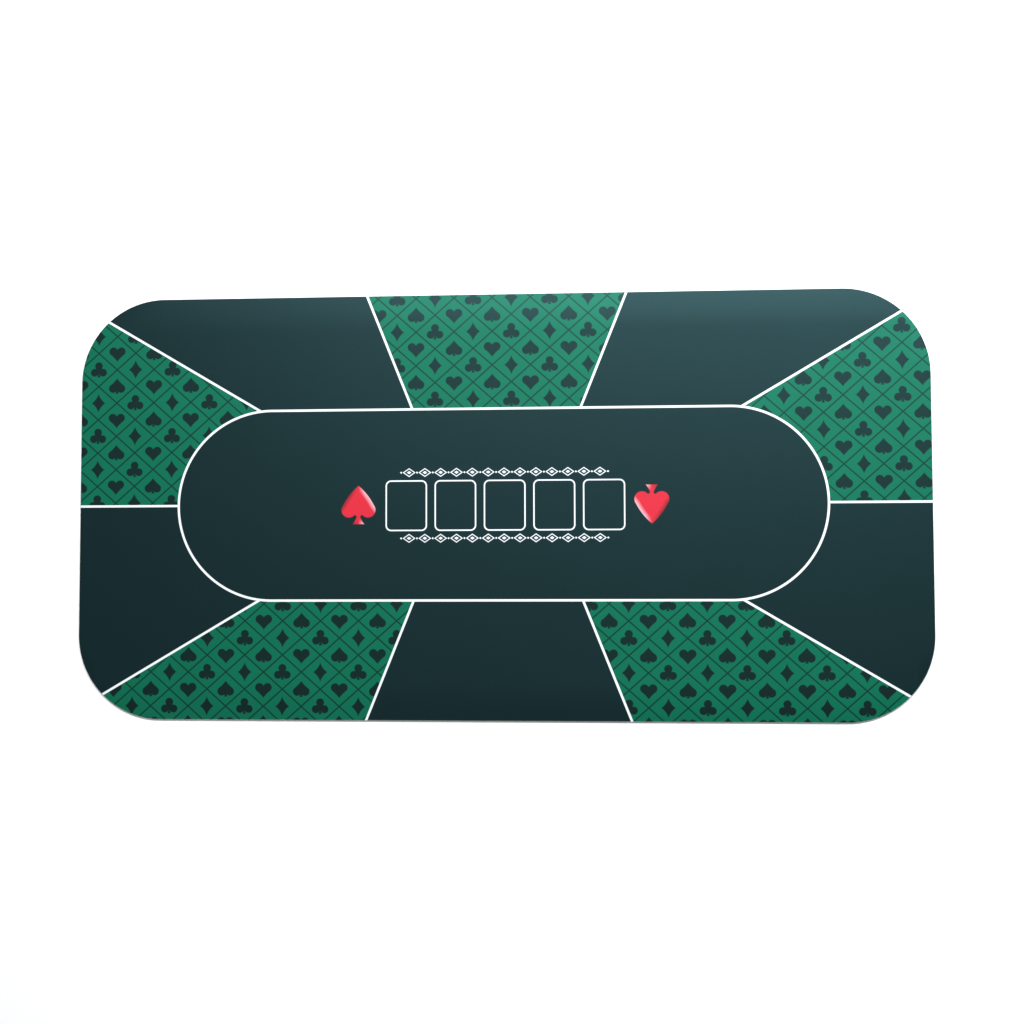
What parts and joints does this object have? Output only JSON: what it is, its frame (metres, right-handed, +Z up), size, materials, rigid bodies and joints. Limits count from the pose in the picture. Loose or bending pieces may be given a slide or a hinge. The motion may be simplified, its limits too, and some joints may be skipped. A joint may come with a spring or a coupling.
{
  "type": "roll-up poker table top mat",
  "caption": "Flat rectangular gaming mat with round corners: printed cloth bonded to thin foam rubber, with an oval play area and seat panels, that rolls up from one end",
  "frame": {"origin": "centre of the underside, on the surface the mat lies on", "axes": "X along the mat's length, Y across its width, Z up out of the printed face"},
  "size_m": [1.2, 0.6, 0.003],
  "materials": {
    "printed_cloth": "smooth polyester jersey, dye printed, matte with a faint sheen",
    "foam_rubber": "black natural foam rubber with a fine embossed anti-slip underside, matte"
  },
  "bodies": {
    "strip_01": {"rubber_strip_01": "foam_rubber"},
    "strip_02": {"rubber_strip_02": "foam_rubber"},
    "strip_03": {"rubber_strip_03": "foam_rubber"},
    "strip_04": {"rubber_strip_04": "foam_rubber"},
    "strip_05": {"rubber_strip_05": "foam_rubber"},
    "strip_06": {"rubber_strip_06": "foam_rubber"},
    "strip_07": {"rubber_strip_07": "foam_rubber"},
    "strip_08": {"rubber_strip_08": "foam_rubber"},
    "strip_09": {"rubber_strip_09": "foam_rubber"},
    "strip_10": {"rubber_strip_10": "foam_rubber"},
    "strip_11": {"rubber_strip_11": "foam_rubber"},
    "strip_12": {"rubber_strip_12": "foam_rubber"},
    "strip_13": {"rubber_strip_13": "foam_rubber"},
    "strip_14": {"rubber_strip_14": "foam_rubber"},
    "strip_15": {"rubber_strip_15": "foam_rubber"},
    "strip_16": {"rubber_strip_16": "foam_rubber", "printed_cloth": "printed_cloth"},
    "strip_17": {"rubber_strip_17": "foam_rubber"},
    "strip_18": {"rubber_strip_18": "foam_rubber"},
    "strip_19": {"rubber_strip_19": "foam_rubber"},
    "strip_20": {"rubber_strip_20": "foam_rubber"},
    "strip_21": {"rubber_strip_21": "foam_rubber"},
    "strip_22": {"rubber_strip_22": "foam_rubber"},
    "strip_23": {"rubber_strip_23": "foam_rubber"},
    "strip_24": {"rubber_strip_24": "foam_rubber"},
    "strip_25": {"rubber_strip_25": "foam_rubber"},
    "strip_26": {"rubber_strip_26": "foam_rubber"},
    "strip_27": {"rubber_strip_27": "foam_rubber"},
    "strip_28": {"rubber_strip_28": "foam_rubber"},
    "strip_29": {"rubber_strip_29": "foam_rubber"},
    "strip_30": {"rubber_strip_30": "foam_rubber"},
    "strip_31": {"rubber_strip_31": "foam_rubber"},
    "strip_32": {"rubber_strip_32": "foam_rubber"}
  },
  "joints": [
    {"name": "roll_up", "type": "hinge", "parent": "strip_01", "child": "strip_02", "pos_m": [-0.55973, 0, 0.00275], "axis": [0, -1, 0], "range_deg": [0, 30], "deforming": ["printed_cloth"]},
    {"name": "roll_follow_02", "type": "hinge", "parent": "strip_02", "child": "strip_03", "pos_m": [-0.51964, 0, 0.00275], "axis": [0, -1, 0], "range_deg": [0, 30]},
    {"name": "roll_follow_03", "type": "hinge", "parent": "strip_03", "child": "strip_04", "pos_m": [-0.47973, 0, 0.00275], "axis": [0, -1, 0], "range_deg": [0, 30]},
    {"name": "roll_follow_04", "type": "hinge", "parent": "strip_04", "child": "strip_05", "pos_m": [-0.44, 0, 0.00275], "axis": [0, -1, 0], "range_deg": [0, 30]},
    {"name": "roll_follow_05", "type": "hinge", "parent": "strip_05", "child": "strip_06", "pos_m": [-0.40044, 0, 0.00275], "axis": [0, -1, 0], "range_deg": [0, 30]},
    {"name": "roll_follow_06", "type": "hinge", "parent": "strip_06", "child": "strip_07", "pos_m": [-0.36107, 0, 0.00275], "axis": [0, -1, 0], "range_deg": [0, 30]},
    {"name": "roll_follow_07", "type": "hinge", "parent": "strip_07", "child": "strip_08", "pos_m": [-0.32187, 0, 0.00275], "axis": [0, -1, 0], "range_deg": [0, 30]},
    {"name": "roll_follow_08", "type": "hinge", "parent": "strip_08", "child": "strip_09", "pos_m": [-0.28285, 0, 0.00275], "axis": [0, -1, 0], "range_deg": [0, 30]},
    {"name": "roll_follow_09", "type": "hinge", "parent": "strip_09", "child": "strip_10", "pos_m": [-0.24401, 0, 0.00275], "axis": [0, -1, 0], "range_deg": [0, 30]},
    {"name": "roll_follow_10", "type": "hinge", "parent": "strip_10", "child": "strip_11", "pos_m": [-0.20535, 0, 0.00275], "axis": [0, -1, 0], "range_deg": [0, 30]},
    {"name": "roll_follow_11", "type": "hinge", "parent": "strip_11", "child": "strip_12", "pos_m": [-0.16687, 0, 0.00275], "axis": [0, -1, 0], "range_deg": [0, 30]},
    {"name": "roll_follow_12", "type": "hinge", "parent": "strip_12", "child": "strip_13", "pos_m": [-0.12856, 0, 0.00275], "axis": [0, -1, 0], "range_deg": [0, 30]},
    {"name": "roll_follow_13", "type": "hinge", "parent": "strip_13", "child": "strip_14", "pos_m": [-0.09044, 0, 0.00275], "axis": [0, -1, 0], "range_deg": [0, 30]},
    {"name": "roll_follow_14", "type": "hinge", "parent": "strip_14", "child": "strip_15", "pos_m": [-0.05249, 0, 0.00275], "axis": [0, -1, 0], "range_deg": [0, 30]},
    {"name": "roll_follow_15", "type": "hinge", "parent": "strip_15", "child": "strip_16", "pos_m": [-0.01472, 0, 0.00275], "axis": [0, -1, 0], "range_deg": [0, 30]},
    {"name": "roll_follow_16", "type": "hinge", "parent": "strip_16", "child": "strip_17", "pos_m": [0.02286, 0, 0.00275], "axis": [0, -1, 0], "range_deg": [0, 30]},
    {"name": "roll_follow_17", "type": "hinge", "parent": "strip_17", "child": "strip_18", "pos_m": [0.06028, 0, 0.00275], "axis": [0, -1, 0], "range_deg": [0, 30]},
    {"name": "roll_follow_18", "type": "hinge", "parent": "strip_18", "child": "strip_19", "pos_m": [0.09751, 0, 0.00275], "axis": [0, -1, 0], "range_deg": [0, 30]},
    {"name": "roll_follow_19", "type": "hinge", "parent": "strip_19", "child": "strip_20", "pos_m": [0.13456, 0, 0.00275], "axis": [0, -1, 0], "range_deg": [0, 30]},
    {"name": "roll_follow_20", "type": "hinge", "parent": "strip_20", "child": "strip_21", "pos_m": [0.17144, 0, 0.00275], "axis": [0, -1, 0], "range_deg": [0, 30]},
    {"name": "roll_follow_21", "type": "hinge", "parent": "strip_21", "child": "strip_22", "pos_m": [0.20813, 0, 0.00275], "axis": [0, -1, 0], "range_deg": [0, 30]},
    {"name": "roll_follow_22", "type": "hinge", "parent": "strip_22", "child": "strip_23", "pos_m": [0.24465, 0, 0.00275], "axis": [0, -1, 0], "range_deg": [0, 30]},
    {"name": "roll_follow_23", "type": "hinge", "parent": "strip_23", "child": "strip_24", "pos_m": [0.28099, 0, 0.00275], "axis": [0, -1, 0], "range_deg": [0, 30]},
    {"name": "roll_follow_24", "type": "hinge", "parent": "strip_24", "child": "strip_25", "pos_m": [0.31715, 0, 0.00275], "axis": [0, -1, 0], "range_deg": [0, 30]},
    {"name": "roll_follow_25", "type": "hinge", "parent": "strip_25", "child": "strip_26", "pos_m": [0.35313, 0, 0.00275], "axis": [0, -1, 0], "range_deg": [0, 30]},
    {"name": "roll_follow_26", "type": "hinge", "parent": "strip_26", "child": "strip_27", "pos_m": [0.38893, 0, 0.00275], "axis": [0, -1, 0], "range_deg": [0, 30]},
    {"name": "roll_follow_27", "type": "hinge", "parent": "strip_27", "child": "strip_28", "pos_m": [0.42456, 0, 0.00275], "axis": [0, -1, 0], "range_deg": [0, 30]},
    {"name": "roll_follow_28", "type": "hinge", "parent": "strip_28", "child": "strip_29", "pos_m": [0.46, 0, 0.00275], "axis": [0, -1, 0], "range_deg": [0, 30]},
    {"name": "roll_follow_29", "type": "hinge", "parent": "strip_29", "child": "strip_30", "pos_m": [0.49527, 0, 0.00275], "axis": [0, -1, 0], "range_deg": [0, 30]},
    {"name": "roll_follow_30", "type": "hinge", "parent": "strip_30", "child": "strip_31", "pos_m": [0.53036, 0, 0.00275], "axis": [0, -1, 0], "range_deg": [0, 30]},
    {"name": "roll_follow_31", "type": "hinge", "parent": "strip_31", "child": "strip_32", "pos_m": [0.56527, 0, 0.00275], "axis": [0, -1, 0], "range_deg": [0, 30]}
  ],
  "couplings": [
    {"joint": "roll_follow_02", "follows": "roll_up", "ratio": 1},
    {"joint": "roll_follow_03", "follows": "roll_up", "ratio": 1},
    {"joint": "roll_follow_04", "follows": "roll_up", "ratio": 1},
    {"joint": "roll_follow_05", "follows": "roll_up", "ratio": 1},
    {"joint": "roll_follow_06", "follows": "roll_up", "ratio": 1},
    {"joint": "roll_follow_07", "follows": "roll_up", "ratio": 1},
    {"joint": "roll_follow_08", "follows": "roll_up", "ratio": 1},
    {"joint": "roll_follow_09", "follows": "roll_up", "ratio": 1},
    {"joint": "roll_follow_10", "follows": "roll_up", "ratio": 1},
    {"joint": "roll_follow_11", "follows": "roll_up", "ratio": 1},
    {"joint": "roll_follow_12", "follows": "roll_up", "ratio": 1},
    {"joint": "roll_follow_13", "follows": "roll_up", "ratio": 1},
    {"joint": "roll_follow_14", "follows": "roll_up", "ratio": 1},
    {"joint": "roll_follow_15", "follows": "roll_up", "ratio": 1},
    {"joint": "roll_follow_16", "follows": "roll_up", "ratio": 1},
    {"joint": "roll_follow_17", "follows": "roll_up", "ratio": 1},
    {"joint": "roll_follow_18", "follows": "roll_up", "ratio": 1},
    {"joint": "roll_follow_19", "follows": "roll_up", "ratio": 1},
    {"joint": "roll_follow_20", "follows": "roll_up", "ratio": 1},
    {"joint": "roll_follow_21", "follows": "roll_up", "ratio": 1},
    {"joint": "roll_follow_22", "follows": "roll_up", "ratio": 1},
    {"joint": "roll_follow_23", "follows": "roll_up", "ratio": 1},
    {"joint": "roll_follow_24", "follows": "roll_up", "ratio": 1},
    {"joint": "roll_follow_25", "follows": "roll_up", "ratio": 1},
    {"joint": "roll_follow_26", "follows": "roll_up", "ratio": 1},
    {"joint": "roll_follow_27", "follows": "roll_up", "ratio": 1},
    {"joint": "roll_follow_28", "follows": "roll_up", "ratio": 1},
    {"joint": "roll_follow_29", "follows": "roll_up", "ratio": 1},
    {"joint": "roll_follow_30", "follows": "roll_up", "ratio": 1},
    {"joint": "roll_follow_31", "follows": "roll_up", "ratio": 1}
  ]
}
